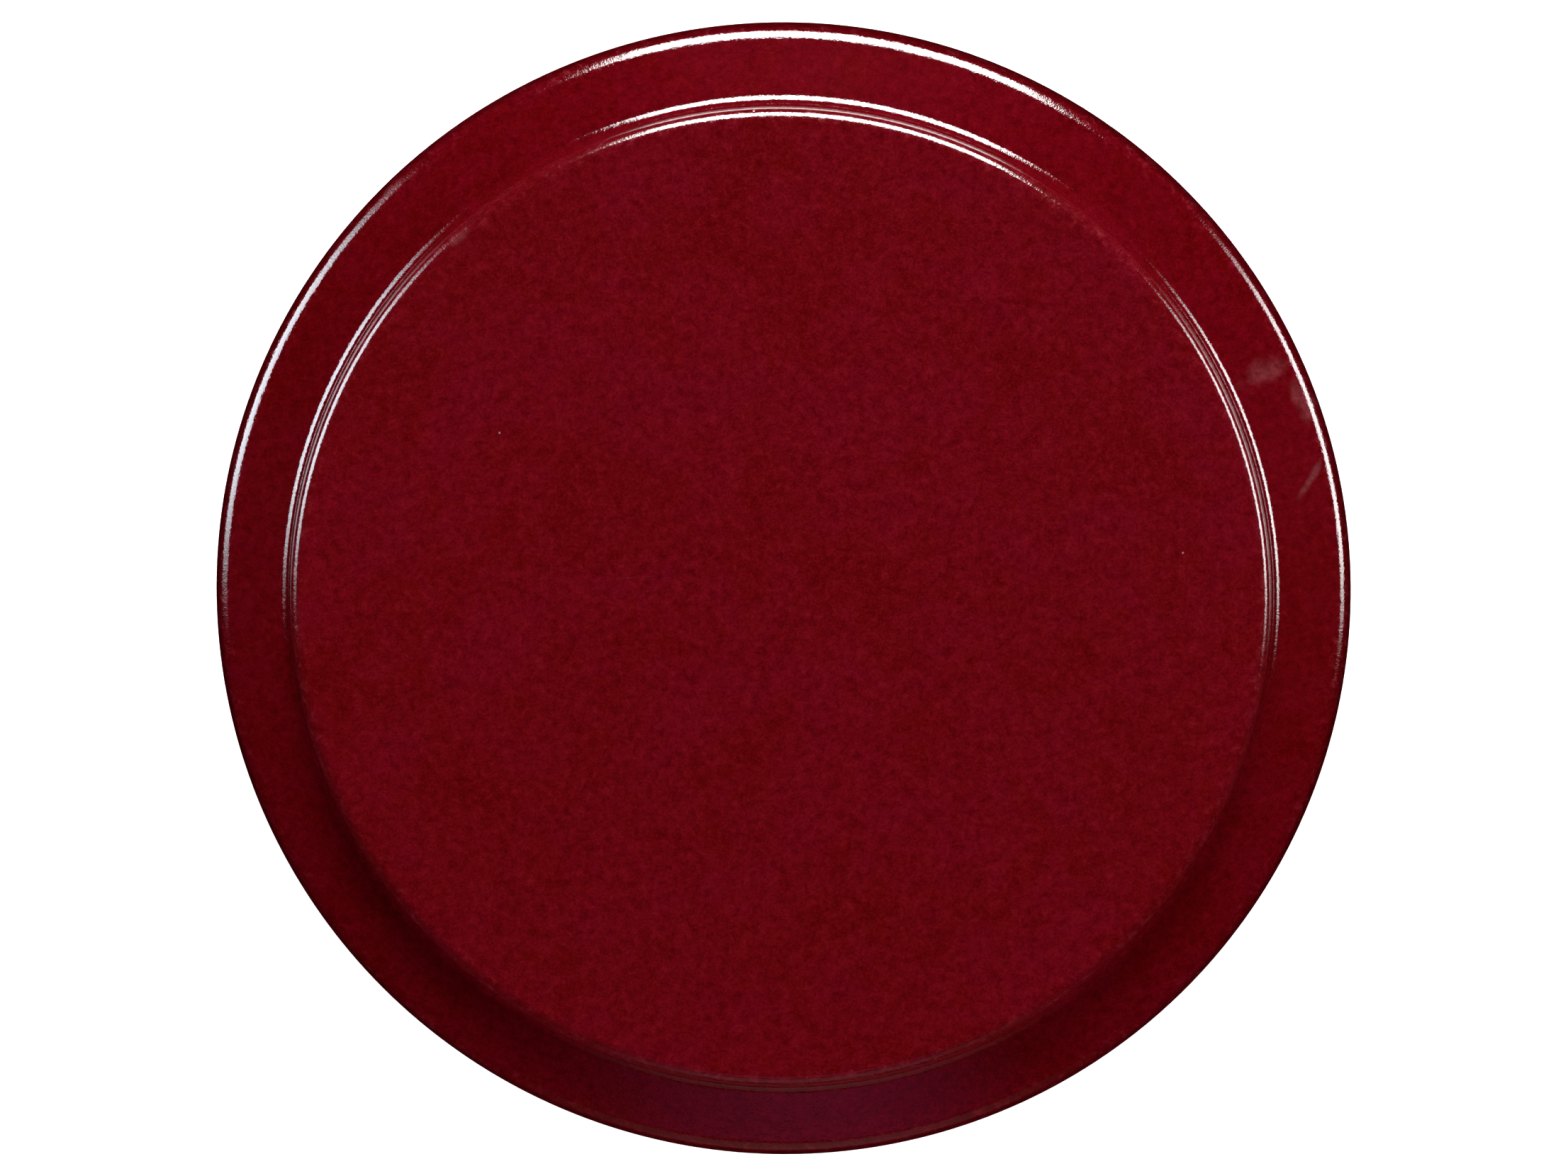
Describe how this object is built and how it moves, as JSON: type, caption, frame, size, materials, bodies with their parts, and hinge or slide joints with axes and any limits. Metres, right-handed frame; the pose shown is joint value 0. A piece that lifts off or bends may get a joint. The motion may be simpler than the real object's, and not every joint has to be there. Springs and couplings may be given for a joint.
{
  "type": "lawn bowl",
  "caption": "Round flat-sided lawn bowl with a crowned running surface, a tight edge, a sloping shoulder and a large raised side disc.",
  "frame": {"origin": "centre of the flat face of the far side disc, on the bowl's axis, where the bowl lies on a surface", "axes": "+Z along the bowl's axis, from the far side disc that it lies on to the near side disc; X and Y are across it"},
  "size_m": [0.124, 0.124, 0.0687],
  "materials": {
    "shell": "deep red moulded phenolic, polished",
    "side_disc": "deep red moulded phenolic, satin gloss, faintly mottled",
    "core": "dense filled phenolic, as moulded",
    "dowel": "plain turned rod"
  },
  "bodies": {
    "root": {"running_shell": "shell", "near_side_disc": "side_disc", "far_side_disc": "side_disc", "core": "core", "near_disc_dowels": "dowel", "far_disc_dowels": "dowel"}
  },
  "joints": []
}
